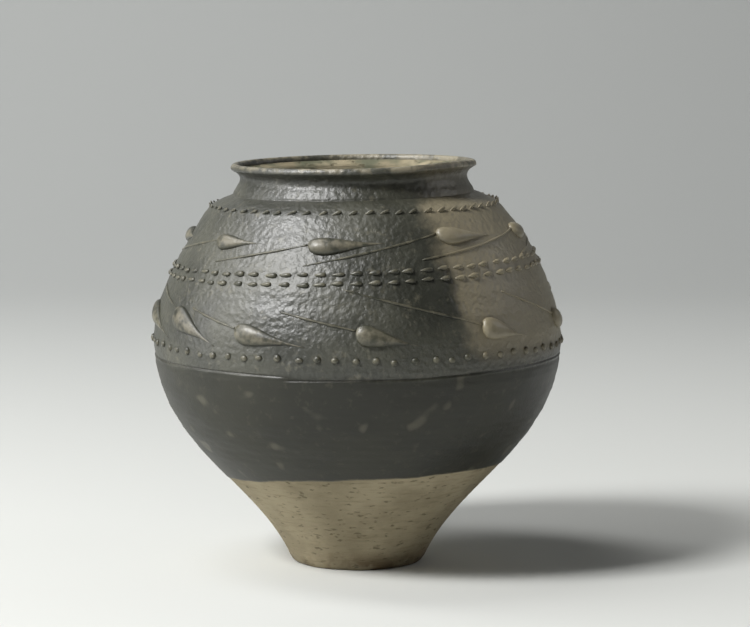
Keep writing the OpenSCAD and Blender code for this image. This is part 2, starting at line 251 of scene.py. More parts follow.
def outside_profile():
    """The wall's outer curve from the foot's edge to the rim's inner side, as radius and height.

    It joins the foot's rounding, the curves to the belly and the corner, the corner's blend, the swelling
    ledge, the neck and the rim's arc."""
    foot, rounding_turn, wall_from = FOOT_D / 2, 1.3, 1.3 * FOOT_ROUND
    turn = np.linspace(0, rounding_turn, 7)
    rounding = np.stack([foot - FOOT_ROUND * (1 - np.sin(turn)), FOOT_ROUND * (1 - np.cos(turn))], -1)
    low = cubic(low_curve(), 90)
    low = low[low[:, 1] > wall_from]
    third = CORNER_BLEND / 3
    blend = [CORNER + third * SHOULDER_WAY, CORNER + third * LEDGE_WAY, CORNER + CORNER_BLEND * LEDGE_WAY]
    blend = cubic([high_curve()[3]] + blend, 6)
    middle = (CORNER + ROOT) / 2 + np.array([0, LEDGE_SWELL])
    ledge = cubic([blend[-1], (blend[-1] + 2 * middle) / 3, (ROOT + 2 * middle) / 3, ROOT], 12)
    rim = [rim_point(a) for a in np.linspace(RIM_START, 180, 30)]
    upper = [cubic(high_curve(), 70)[1:], blend[1:], ledge[1:], cubic(neck_curve(), 30)[1:], rim[1:]]
    return np.vstack([rounding, low] + upper)


def arc_lengths(p):
    """The length along the polyline p at each of its points."""
    return np.concatenate([[0], np.cumsum(np.linalg.norm(np.diff(p, axis=0), axis=1))])


def at_length(s, own, values):
    """Two columns of values, given at the lengths own, read between them at the lengths s."""
    return np.stack([np.interp(s, own, values[:, 0]), np.interp(s, own, values[:, 1])], -1)


OUTSIDE = outside_profile()
OUT_S = arc_lengths(OUTSIDE)
OUT_N = normals_of(OUTSIDE)
CORNER_CLEAR = 0.4
WALL_END = int(np.argmax(OUTSIDE[:, 1] >= CORNER_H - CORNER_CLEAR))
WALL_R, WALL_Z = OUTSIDE[:WALL_END].T
SLOPE_STEP, SLOPE_CLEAR = 0.5, 0.6


def wall_slope(z):
    """How fast the wall's radius grows with height, over a millimetre that stays on the wall."""
    z = np.clip(z, WALL_Z[0] + SLOPE_CLEAR, WALL_Z[-1] - SLOPE_CLEAR)
    return np.interp(z + SLOPE_STEP, WALL_Z, WALL_R) - np.interp(z - SLOPE_STEP, WALL_Z, WALL_R)


def wall_r(z):
    """The coat's outer radius at a height below the shoulder's corner."""
    slope = wall_slope(z)
    return np.interp(z, WALL_Z, WALL_R) + COAT_T * np.sqrt(1 + slope * slope)


def on_wall(angle, z, h):
    """The point at an angle and a height on the coat, moved out along the wall's normal by h."""
    slope = wall_slope(z)
    n = np.sqrt(1 + slope * slope)
    r = wall_r(z) + h / n
    a = np.radians(angle)
    return np.stack([r * np.sin(a), -r * np.cos(a), z - h * slope / n], -1)


def warp(p):
    """The jar's own unevenness: neck and rim tilt up to the right and lean left, and the front lip lifts.

    Each is a size times a smooth step up the height. The tilt also grows with x, and the lip's lift is a bell
    curve round its angle."""
    angle = np.degrees(np.arctan2(p[..., 0], -p[..., 1]))
    x, z = p[..., 0], p[..., 2]
    q = p.copy()
    q[..., 2] += TILT_RISE * x / TILT_R * smooth((z - TILT_FROM) / TILT_OVER)
    bell = np.exp(-(((angle - LIP_AT) / LIP_SPREAD) ** 2))
    q[..., 2] += LIP_RISE * bell * smooth((z - LIP_FROM) / LIP_OVER)
    q[..., 0] -= LEAN * smooth((z - LEAN_FROM) / LEAN_OVER)
    return q


# Meshes
def mesh_piece(name, points, faces, attributes=None):
    """A smooth mesh object at the origin from millimetre points. An attribute is one number per point."""
    mesh = bpy.data.meshes.new(name)
    mesh.from_pydata((points * MM).tolist(), [], faces)
    for key, values in (attributes or {}).items():
        layer = mesh.attributes.new(key, "FLOAT", "POINT")
        layer.data.foreach_set("value", np.asarray(values, np.float32).ravel())
    mesh.polygons.foreach_set("use_smooth", [True] * len(mesh.polygons))
    mesh.validate()
    mesh.update()
    obj = bpy.data.objects.new(name, mesh)
    bpy.context.scene.collection.objects.link(obj)
    return obj


def ring_faces(rows, sides, start=0, loop=False):
    """Quads between rings of points, with the seam closed; loop also joins the last ring to the first."""
    i, j = np.meshgrid(np.arange(rows if loop else rows - 1), np.arange(sides), indexing="ij")
    n, k = (i + 1) % rows, (j + 1) % sides
    corners = [i * sides + j, i * sides + k, n * sides + k, n * sides + j]
    return np.stack(corners, -1).reshape(-1, 4) + start


def fan_faces(pole, first, sides, onward):
    """Triangles from a pole to the ring that starts at first, taken onward round the ring or back."""
    near = np.arange(sides)
    far = (near + 1) % sides
    pair = [near, far] if onward else [far, near]
    return np.stack([np.full(sides, pole), pair[0] + first, pair[1] + first], -1)


def finish_piece(obj, material, node):
    """Gives a piece its material, hangs it from the root and hides the CAD part of the node it stands for."""
    obj.data.materials.append(material)
    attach(obj, "root")
    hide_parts(node)


# The thrown body
def inside_profile():
    """The hollow's curve from the throat down to the middle of the floor.

    It joins the throat, a curve out under the ledge, the outer curves moved in by the wall's thickness, which
    grows towards the foot, the floor's rounding and the floor."""
    ledge_drop, ledge_reach, floor_clear = 3.2, np.array([-6, 2.6]), 5
    round_out, round_fall, round_in, round_end, floor_start = 2.4, 3.4, 5.6, 11, 13
    throat = THROAT_D / 2
    high, low = cubic(high_curve(), 40), cubic(low_curve(), 60)
    t = np.linspace(0, 1, len(low))
    thickness = WALL_T + (LOW_WALL_T - WALL_T) * (1 - t) ** 2
    high_in = (high - normals_of(high) * WALL_T)[::-1]
    low_in = (low - normals_of(low) * thickness[:, None])[::-1]
    low_in = low_in[low_in[:, 1] > BASE_T + floor_clear]
    shoulder = high_in[0]
    ledge = [[throat, THROAT_LOW], [throat, THROAT_LOW - ledge_drop], shoulder + ledge_reach, shoulder]
    r, z = low_in[-1]
    floor = [[r, z], [r - round_out, z - round_fall], [r - round_in, BASE_T], [r - round_end, BASE_T]]
    flat_r = np.linspace(r - floor_start, POLE_R, 10)
    flat = np.stack([flat_r, np.full_like(flat_r, BASE_T)], -1)
    top = [[throat, THROAT_TOP]]
    return np.vstack([top, cubic(ledge, 14), high_in[1:], low_in[1:], cubic(floor, 8)[1:], flat])


def dip_height(angle):
    """The dip line's height: a plane's slant, as a cosine of the angle, and three small waves of wet slip."""
    slant = math.tan(math.radians(DIP_TILT)) * DIP_R
    return DIP_H + slant * np.cos(np.radians(angle - DIP_TURN)) + round_waves(angle, DIP_WAVES)


def build_body(columns):
    """The thrown clay: radius and height by row, swept round the axis by column, closed at both poles.

    Rows run over the underside, the wall, the rim and the inside. To the radius are added the foot's waves,
    the wall's faint rings and, inside, the spiral of the potter's fingers. The underside has the arcs of the
    cut-off wire. Where the coat covers it, the clay lies a little deeper, so that no facet shows through."""
    under_clear, lip_fall, throat_rise, throat = 1, [0, -1.2], 1.6, THROAT_D / 2
    angle = np.arange(columns) * 360 / columns
    a = np.radians(angle)[None]
    under_r = np.linspace(POLE_R, FOOT_D / 2 - FOOT_ROUND - under_clear, UNDER_ROWS)
    under = np.stack([under_r, 0 * under_r], -1)
    outer_s = np.linspace(0, OUT_S[-1], BODY_ROWS)
    outer = at_length(outer_s, OUT_S, OUTSIDE)
    lip = [OUTSIDE[-1], OUTSIDE[-1] + lip_fall, [throat, THROAT_TOP + throat_rise], [throat, THROAT_TOP]]
    inner = np.vstack([cubic(lip, 6)[1:-1], inside_profile()])
    profile = np.vstack([under, outer, inner])
    rows = len(profile)
    row = np.arange(rows)[:, None]
    is_under = row < len(under)
    is_inner = row >= len(under) + len(outer)
    is_outer = ~is_under & ~is_inner
    r, z = profile[:, :1], profile[:, 1:]
    spiral = RIDGE_DEPTH * np.sin(z * RIDGE_WAVE + a) * is_inner * faded(z, *RIDGE_SPAN)
    foot = round_waves(angle, FOOT_WAVES)[None] * smooth((FOOT_WAVES_TOP - z) / FOOT_WAVES_TOP) * is_outer
    rings = RING_DEPTH * np.sin(z * RING_WAVE + RING_SWAY * np.sin(a)) * is_outer * faded(z, *RING_SPAN)
    normal = np.zeros((rows, 2))
    normal[is_outer[:, 0]] = at_length(outer_s, OUT_S, OUT_N)
    covered = smooth((z - dip_height(angle)[None] - HIDDEN_FROM) / HIDDEN_OVER)
    sunk = HIDDEN_DEPTH * is_outer * covered
    r_all = r + spiral + foot + rings - sunk * normal[:, :1]
    z_all = z + 0 * a - sunk * normal[:, 1:]
    arcs = r_all * np.sin(a) + WIRE_BOW * r_all * r_all
    z_all = np.where(is_under, UNDER_LIFT + WIRE_DEPTH * np.sin(arcs * WIRE_WAVE), z_all)
    points = warp(np.stack([r_all * np.sin(a), -r_all * np.cos(a), z_all], -1)).reshape(-1, 3)
    poles = [[0, 0, UNDER_LIFT], [0, 0, BASE_T]]
    n = rows * columns
    faces = ring_faces(rows, columns).tolist()
    faces += fan_faces(n, 0, columns, False).tolist()
    faces += fan_faces(n + 1, n - columns, columns, True).tolist()
    return mesh_piece("thrown_body", np.vstack([points, poles]), faces)


# The slip coat
def guide_cut(angle, z):
    """How far the guide line moves the coat in or out: a bell-shaped groove with a small burr below it."""
    way = np.array(GUIDE, float)
    depth = np.zeros_like(z)
    for turn in (0, 360, -360):
        a = angle + turn
        height = np.interp(a, way[:, 0], way[:, 1]) + GUIDE_SWAY * np.sin(np.radians(a * GUIDE_SWAYS))
        there = (a >= way[0, 0]) & (a <= way[-1, 0])
        gap = (z - height) / GUIDE_HALF
        cut = -GUIDE_DEPTH * np.exp(-(gap**2)) + GUIDE_BURR * np.exp(-((gap + GUIDE_BURR_BELOW) ** 2))
        cut = cut * smooth((a - way[0, 0]) / GUIDE_FADE) * smooth((way[-1, 0] - a) / GUIDE_FADE)
        depth = np.where(there & (np.abs(cut) > np.abs(depth)), cut, depth)
    return depth


def coat_relief(a, z):
    """The coat's own relief: throwing waves and lumps, a wide and a fine set of each.

    A wave is a sine of the height that sways round the jar, and a lump is one wave times another."""
    wide_wave, fine_wave, wide_lump, fine_lump = 0.10, 0.05, 0.12, 0.07
    waves = wide_wave * np.sin(z * 0.62 + 0.5 * np.sin(a * 2)) + fine_wave * np.sin(z * 1.9 + 2 * np.sin(a))
    lumps = wide_lump * np.sin(a * 9 + z * 0.21) * np.sin(z * 0.17 + a * 4)
    lumps = lumps + fine_lump * np.sin(a * 31 + z * 0.5) * np.sin(z * 0.9)
    return (waves + lumps) * faded(z, *RELIEF_SPAN) * RELIEF_SHARE


def coat_rows(rows, low_s, end_s, guide_s):
    """The rows' shares of the way from the dip line to the coat's end, closer at the guide line and the rim.

    They are read off the running sum of a weight: 1, and a bell curve at the guide line, and a step."""
    guide_weight, guide_spread, rim_weight, rim_reach, samples = 4.2, 2.6, 1.2, 32, 4000
    s = OUT_S[0] + (end_s - OUT_S[0]) * np.linspace(0, 1, samples)
    bell = np.exp(-(((s - guide_s) / guide_spread) ** 2))
    weight = 1 + guide_weight * bell + rim_weight * (s > end_s - rim_reach)
    total = np.cumsum(weight * (s >= low_s))
    reached = (total - total[0]) / (total[-1] - total[0])
    share = np.clip(np.interp(np.linspace(0, 1, rows), reached, (s - low_s) / (end_s - low_s)), 0, 1)
    share[0], share[-1] = 0, 1
    return share


def build_coat(columns, rows):
    """The slip coat: a thin closed shell by row and column, from the dip line up and over the rim.

    Each point is the wall's own, moved along its normal. Outside it moves by the coat's thickness, which
    thins out at both edges, with the guide line and the relief added. The inner side lies just under the clay
    and follows every second outer row at the rim and neck, and every eighth on the wall. Low rows stretch to
    the wavy dip line, and from under the guide line up they are level."""
    edge_fade, end_fade, edge_sink, inner_depth, level_gap = 1.1, 0.8, 0.06, -0.25, 12
    angle = np.arange(columns) * 360 / columns
    dip_s = np.interp(dip_height(angle), WALL_Z, OUT_S[:WALL_END])
    guide_s = np.interp(GUIDE_MIDDLE, WALL_Z, OUT_S[:WALL_END])
    low_s, end_s = dip_s.mean(), OUT_S[-1] + COAT_INSIDE
    share = coat_rows(rows, low_s, end_s, guide_s)
    picks = list(range(rows - 4, rows - NECK_ROWS, -2)) + list(range(rows - NECK_ROWS, 2, -8))
    level = low_s + (end_s - low_s) * np.concatenate([share, share[picks]])[:, None]
    level_s = guide_s - level_gap
    s = level + (dip_s - low_s)[None] * smooth((level_s - level) / (level_s - low_s))
    from_edge, to_end = s[:rows] - s[:1], s[rows - 1] - s[:rows]
    thin = np.clip(from_edge / edge_fade, 0, 1) ** 0.5 * np.clip(to_end / end_fade, 0, 1) ** 0.5
    own = np.append(OUT_S, end_s)
    inside_end = [OUTSIDE[-1, 0], OUTSIDE[-1, 1] - COAT_INSIDE]
    r, z = np.moveaxis(at_length(s, own, np.vstack([OUTSIDE, inside_end])), -1, 0)
    normal = at_length(s, own, np.vstack([OUT_N, [-1, 0]]))
    normal = normal / np.sqrt(normal[..., :1] * normal[..., :1] + normal[..., 1:] * normal[..., 1:])
    a = np.radians(angle)[None] + 0 * s
    is_outer = (np.arange(len(s)) < rows)[:, None]
    cut = guide_cut(np.degrees(a), z) * is_outer * (z > GUIDE_LOWEST) * (z < GUIDE_HIGHEST)
    depth = np.vstack([COAT_T * thin - edge_sink * (1 - thin), np.full_like(s[rows:], inner_depth)])
    depth = depth + (cut + coat_relief(a, z)) * is_outer
    r, z = r + normal[..., 0] * depth, z + normal[..., 1] * depth
    points = warp(np.stack([r * np.sin(a), -r * np.cos(a), z], -1)).reshape(-1, 3)
    marks = {"edge": np.vstack([from_edge, 0 * s[rows:]]), "groove": np.clip(-cut / GUIDE_DEPTH, 0, 1)}
    return mesh_piece("slip_coat", points, ring_faces(len(s), columns, loop=True).tolist(), marks)


# Trailed slip
def trail_rings(p, q, w, h, stations, share, sides, sag=0.0, keel=0.35):
    """The rings of one trailed stroke: t runs from p to q, and the other parameter runs round the ring.

    A ring is w times the share at t to each side, h times that share's power proud of the wall, and its lower
    half is a shallow keel in the wall. sag moves the ring down the wall by a share of its half width, so that
    the upper edge is straighter than the lower."""
    seat, height_power, dome_power = 0.04, 0.85, 0.9
    p, q = np.array(p, float), np.array(q, float)
    c = (p + q) / 2
    run = (q[0] - p[0]) * math.pi / 180 * wall_r(c[1])
    climb = (q[1] - p[1]) * math.hypot(1, wall_slope(c[1]))
    way = unit([run, climb])
    t = np.asarray(stations)[:, None]
    th = np.linspace(0, 2 * math.pi, sides, endpoint=False)[None]
    size = share(t)
    u = w * size * np.cos(th) - sag * w * size
    dome = h * size**height_power * np.abs(np.sin(th)) ** dome_power
    up = np.where(np.sin(th) >= 0, dome, -keel * np.abs(np.sin(th)))
    angle, z = p[0] + (q[0] - p[0]) * t, p[1] + (q[1] - p[1]) * t
    turn = 180 / (math.pi * wall_r(z))
    rise = np.sqrt(1 + wall_slope(z) ** 2)
    return on_wall(angle - way[1] * u * turn, z + way[0] * u / rise, up - seat)


def stroke_mesh(name, strokes, sides):
    """One mesh of separate closed strokes, each a stack of rings with a point at either end."""
    points, faces, crests, start = [], [], [], 0
    ring_crest = np.clip(np.sin(np.linspace(0, 2 * math.pi, sides, endpoint=False)), 0, 1)
    end_crest = [0.3, 0.3]
    for rings in strokes:
        rows = len(rings)
        n = rows * sides
        points += [rings.reshape(-1, 3), rings[0].mean(0), rings[-1].mean(0)]
        faces += ring_faces(rows, sides, start)[:, ::-1].tolist()
        faces += fan_faces(start + n, start, sides, True).tolist()
        faces += fan_faces(start + n + 1, start + n - sides, sides, False).tolist()
        crests += [np.tile(ring_crest, rows), end_crest]
        start += n + 2
    return mesh_piece(name, warp(np.vstack(points)), faces, {"crest": np.concatenate(crests)})


def drop_share(t):
    """A drop's width: a square root's round nose times a power's long tail, 1 at its peak, never quite 0."""
    peak, least = 1 / (2 * DROP_TAPER + 1), 0.03
    return np.sqrt(t / peak) * ((1 - t) / (1 - peak)) ** DROP_TAPER * (1 - least) + least


def thread_share(t):
    """A thread's width: blunt at both ends, a little uneven, and flared where it runs into the drop."""
    blunt, sway, sways, flare, flare_from, flare_over, least = 0.25, 0.14, 19, 0.25, 0.9, 0.1, 0.02
    body = (4 * t * (1 - t)) ** blunt * (1 - sway + sway * np.sin(t * sways + 1))
    return body + flare * smooth((t - flare_from) / flare_over) + least


def leaf_share(t):
    """A slanting bead's width, read between eight places: a slow rise from the left and a steep right end."""
    places = [0, 0.12, 0.28, 0.5, 0.68, 0.86, 0.95, 1]
    return np.interp(t, places, [0.12, 0.4, 0.66, 0.9, 1, 0.86, 0.6, 0.2])


def round_share(t):
    """A round bead's width: half a circle's, never quite 0."""
    least = 0.004
    return 2 * np.sqrt(np.clip(t * (1 - t), least, 1))


def drop_stations(n):
    """Places along a drop, as a power of even steps, so that they are closer together at its nose."""
    crowding, first, last = 2.1, 0.0008, 0.9995
    return np.clip(np.linspace(0, 1, n) ** crowding, first, last)


def thread_stations(n):
    """Places along a thread, in even steps that stop just short of its ends."""
    first, last = 0.004, 0.996
    return np.linspace(first, last, n)


def uneven(i, k):
    """A number from -1 to 1 that changes from bead to bead, from two waves of unequal steps."""
    return math.sin(math.radians(i * (97 + 26 * k))) * math.cos(math.radians(i * (41 + 12 * k)))


def bead_strokes(count, z, length, w, h, slant, tilt, wander, k):
    """The strokes of one bead row, spaced and sized a little unevenly, as by hand."""
    place_share, length_share, size_share, keel = 0.12, 0.12, 0.22, 0.3
    stations = [0.02, 0.14, 0.34, 0.56, 0.76, 0.92, 0.99]
    share = round_share if k == ROUND_ROW else leaf_share
    lean = math.radians(slant)
    out = []
    for i in range(count):
        a = (i + place_share * uneven(i, k)) * 360 / count
        height = z + tilt * math.sin(math.radians(a)) + wander * uneven(i, k + 1)
        half = length / 2 * (1 + length_share * uneven(i, k + 2))
        dx = half * math.cos(lean) * 180 / (math.pi * float(wall_r(height)))
        dz = half * math.sin(lean) / math.hypot(1, float(wall_slope(height)))
        big = 1 + size_share * uneven(i, k + 5)
        ends = (a - dx, height - dz), (a + dx, height + dz)
        out.append(trail_rings(*ends, w * big, h * big, stations, share, BEAD_SIDES, 0, keel))
    return out


# Materials
class Tree:
    """A short way to write a material's nodes: each call adds one and links or sets its inputs.

    A noise takes its scale, as cells to a metre, its detail and its roughness. A ramp takes its value, from
    and to, and what it runs from and to there. A bump takes its height, how far that reaches in metres and
    its strength."""

    def __init__(self, name):
        self.material = bpy.data.materials.new(name)
        self.material.use_nodes = True
        self.tree = self.material.node_tree
        self.tree.nodes.clear()
        self.where = self.add("ShaderNodeTexCoord").outputs["Object"]

    def add(self, kind, inputs=None, **properties):
        """One node, with its properties set and each input linked to a socket or set to a value."""
        node = self.tree.nodes.new(kind)
        for key, value in properties.items():
            setattr(node, key, value)
        for key, value in (inputs or {}).items():
            if isinstance(value, bpy.types.NodeSocket):
                self.tree.links.new(value, node.inputs[key])
            else:
                node.inputs[key].default_value = value
        return node

    def noise(self, scale, detail=3.0, rough=0.55, where=None):
        """A cloudy noise on the object's own coordinates, or on others."""
        inputs = {"Vector": where or self.where, "Scale": scale, "Detail": detail, "Roughness": rough}
        return self.add("ShaderNodeTexNoise", inputs).outputs[0]

    def stretched(self, scale):
        """The object's coordinates, each times its scale."""
        return self.add("ShaderNodeMapping", {"Vector": self.where, "Scale": scale}).outputs[0]

    def axes(self):
        """The object's X, Y and Z."""
        return self.add("ShaderNodeSeparateXYZ", {0: self.where}).outputs

    def mark(self, name):
        """The number that the mesh holds for each point under this name."""
        return self.add("ShaderNodeAttribute", attribute_name=name).outputs["Fac"]

    def ramp(self, value, low, high, to_low=0.0, to_high=1.0, kind="SMOOTHSTEP"):
        """The value from low to high, mapped to run from to_low to to_high."""
        inputs = {"Value": value, "From Min": low, "From Max": high, "To Min": to_low, "To Max": to_high}
        return self.add("ShaderNodeMapRange", inputs, interpolation_type=kind).outputs[0]

    def calc(self, what, a, b):
        """One sum of two numbers, by the operation's name."""
        return self.add("ShaderNodeMath", {0: a, 1: b}, operation=what).outputs[0]

    def times(self, a, b):
        """a times b."""
        return self.calc("MULTIPLY", a, b)

    def plus(self, a, b):
        """a plus b."""
        return self.calc("ADD", a, b)

    def mix(self, share, a, b):
        """Colour a, with a share of colour b."""
        return self.add("ShaderNodeMix", {0: share, 6: a, 7: b}, data_type="RGBA").outputs[2]

    def bump(self, height, distance, strength=1.0, over=None):
        """A normal leant by the slope of a height in metres, over another bump if there is one."""
        inputs = {"Height": height, "Distance": distance, "Strength": strength}
        if over is not None:
            inputs["Normal"] = over
        return self.add("ShaderNodeBump", inputs).outputs[0]

    def surface(self, colour, roughness, shine, normal=None):
        """The material itself: a plain shader with these inputs, joined to its output."""
        inputs = {"Base Color": colour, "Roughness": roughness, "Specular IOR Level": shine}
        if normal is not None:
            inputs["Normal"] = normal
        shader = self.add("ShaderNodeBsdfPrincipled", inputs)
        out = self.add("ShaderNodeOutputMaterial")
        self.tree.links.new(shader.outputs[0], out.inputs[0])
        return self.material


def clay_material(jar):
    """Bare clay: buff grey, matt, with pits and drag marks that run round the wheel."""
    t = Tree("bare_clay")
    z = t.axes()[2]
    cloud = t.noise(38.0, 4.0)
    streak = t.noise(260.0, 4.0, 0.6, t.stretched((0.35, 0.35, 3.0)))
    grain = t.noise(1500.0, 2.0, 0.6)
    pits = t.ramp(t.noise(420.0, 2.0, where=t.stretched((0.5, 0.5, 1.4))), 0.60, 0.70)
    colour = t.mix(t.ramp(cloud, 0.35, 0.68), jar.clay_deep, jar.clay_pale)
    colour = t.mix(t.times(t.ramp(streak, 0.5, 0.7), 0.4), colour, jar.clay_drag)
    # Inside the neck the clay is mottled grey, darkened further with painted shade in the hollow.
    inside = t.times(t.ramp(z, *THROAT_SHADE_Z), t.ramp(t.noise(60.0), 0.66, 0.4))
    colour = t.mix(inside, colour, jar.throat_grey_and_shade)
    dirt = t.times(t.ramp(z, *FOOT_DIRT_Z, 0.0, 0.8), t.ramp(t.noise(90.0), 0.4, 0.62))
    colour = t.mix(dirt, colour, jar.foot_dirt)
    colour = t.mix(t.times(pits, 0.55), colour, jar.pit_shade)
    relief = t.bump(streak, 0.0009, 0.8)
    relief = t.bump(grain, 0.0002, 0.6, relief)
    relief = t.bump(t.calc("SUBTRACT", 1.0, pits), 0.0005, 0.7, relief)
    return t.surface(colour, 0.82, 0.3, relief)


def slip_colour(t, jar):
    """The slip's colour by place: olive grey with paler specks, and a tan patch on the right.

    Also the cloud that the coat's roughness follows, and the raggedness of the tan patch's edge."""
    x, _, z = t.axes()
    cloud = t.noise(26.0, 4.0)
    speck = t.noise(240.0, 3.0, 0.65)
    colour = t.mix(t.ramp(cloud, 0.36, 0.66), jar.slip_dark, jar.slip_pale)
    colour = t.mix(t.times(t.ramp(speck, 0.55, 0.75), 0.5), colour, jar.slip_speck)
    # The tan patch on the right is partly fire-flashing and partly painted sheen of the light from the right.
    ragged = t.times(t.calc("SUBTRACT", t.noise(55.0, 4.0, 0.6), 0.5), FLASH_AND_SHEEN_RAG)
    slanted = t.plus(t.plus(x, ragged), t.times(t.calc("SUBTRACT", z, FLASH_AND_SHEEN_MIDDLE_Z), FLASH_AND_SHEEN_SLANT))
    flash_and_sheen = t.times(t.ramp(slanted, *FLASH_AND_SHEEN_X), t.ramp(z, *FLASH_AND_SHEEN_Z))
    flash_and_sheen = t.times(flash_and_sheen, t.ramp(z, *FLASH_AND_SHEEN_TOP_Z, 1.0, 0.35))
    colour = t.mix(t.times(flash_and_sheen, 0.92), colour, jar.tan_flash_and_sheen)
    return colour, cloud, ragged


def coat_material(jar):
    """The slip coat: satin, wrinkled above the guide line and smooth below it, and thin at the dip line."""
    t = Tree("slip_coat")
    z = t.axes()[2]
    colour, cloud, ragged = slip_colour(t, jar)
    below = t.ramp(t.plus(z, t.times(ragged, BELOW_GUIDE_RAG)), *BELOW_GUIDE_Z)
    # Painted shade: below the guide line, where the belly turns downward, the coat is darkened.
    colour = t.mix(t.times(below, 0.65), colour, jar.painted_low_shade)
    spots = t.times(t.ramp(t.noise(75.0, 1.0), 0.66, 0.74), t.times(below, 0.35))
    colour = t.mix(spots, colour, jar.low_spot)
    colour = t.mix(t.times(t.mark("groove"), 0.5), colour, jar.groove_shade)
    edge = t.plus(t.mark("edge"), t.times(t.noise(300.0), THIN_EDGE_RAG))
    thin = t.ramp(edge, *THIN_EDGE, 1.0, 0.0)
    colour = t.mix(thin, colour, jar.thin_slip)
    worn = t.times(t.ramp(z, *WORN_RIM_Z), t.ramp(t.noise(130.0, 4.0, 0.65), 0.40, 0.6))
    colour = t.mix(t.times(worn, 0.75), colour, jar.worn_rim)
    peel = {"Vector": t.where, "Scale": 420.0, "Smoothness": 0.9}
    peel = t.add("ShaderNodeTexVoronoi", peel, feature="SMOOTH_F1").outputs[0]
    above = t.ramp(below, 0.0, 1.0, 1.0, 0.12)
    relief = t.bump(t.noise(360.0), 0.0005, above)
    relief = t.bump(peel, 0.0003, above, relief)
    relief = t.bump(t.noise(1100.0, 2.0), 0.00012, 0.7, relief)
    rough = t.plus(t.ramp(cloud, 0.3, 0.7, 0.42, 0.54, "LINEAR"), t.times(thin, 0.25))
    return t.surface(colour, rough, t.ramp(below, 0.0, 1.0, 1.0, 0.5), relief)


def trail_material(name, crest_colour, jar):
    """Trailed slip: the coat's own dark colour, rubbed pale on its crests."""
    t = Tree(name)
    colour = slip_colour(t, jar)[0]
    rub = t.times(t.ramp(t.mark("crest"), 0.35, 1.0), t.ramp(t.noise(210.0, 3.0, 0.6), 0.33, 0.62))
    colour = t.mix(t.times(rub, jar.rubbed), colour, crest_colour)
    return t.surface(colour, 0.40, 0.6, t.bump(t.noise(420.0, 2.0), 0.0004, 0.5))


def backdrop_material(jar):
    """The stage's matt paper, a little darker up the wall with painted shade."""
    t = Tree("backdrop")
    colour = t.mix(t.ramp(t.axes()[1], -0.4, 1.6), jar.floor_colour, jar.wall_shade_colour)
    return t.surface(colour, 0.9, 0.0)


# The stage
def backdrop_mesh():
    """The stage: a floor that curves up into a wall behind as a quarter circle, swept along X."""
    front, bend_start, bend_r, top, half_width = -3.0, 1.2, 1.4, 5.0, 4.5
    turn = np.linspace(0.05, math.pi / 2, 30)
    y = np.concatenate([[front, bend_start], bend_start + bend_r * np.sin(turn), [bend_start + bend_r]])
    z = np.concatenate([[0, 0], bend_r * (1 - np.cos(turn)), [top]])
    x = np.array([-half_width, half_width])[None] + 0 * y[:, None]
    points = np.stack([x, y[:, None] + 0 * x, z[:, None] + 0 * x], -1).reshape(-1, 3) / MM
    i = 2 * np.arange(len(y) - 1)
    return mesh_piece("backdrop", points, np.stack([i, i + 1, i + 3, i + 2], -1).tolist())


def area_light(name, place, aim, width, height, power):
    """A soft rectangular light in metres and watts, turned towards its aim."""
    light = bpy.data.lights.new(name, "AREA")
    light.shape = "RECTANGLE"
    light.size = width
    light.size_y = height
    light.energy = power
    obj = bpy.data.objects.new(name, light)
    bpy.context.scene.collection.objects.link(obj)
    obj.location = place
    obj.rotation_euler = (Vector(aim) - Vector(place)).to_track_quat("-Z", "Y").to_euler()


# Settings, operators and panel
def linear(c):
    """A display value from 0 to 255 as the linear value that a socket takes."""
    c /= 255
    return c / 12.92 if c <= 0.04045 else ((c + 0.055) / 1.055) ** 2.4


def colour_property(name, description, r, g, b):
    """A colour setting, from the display values of its red, green and blue."""
    default = (linear(r), linear(g), linear(b), 1.0)
    return bpy.props.FloatVectorProperty(
        name=name, description=description, subtype="COLOR", size=4, min=0.0, max=1.0, default=default)


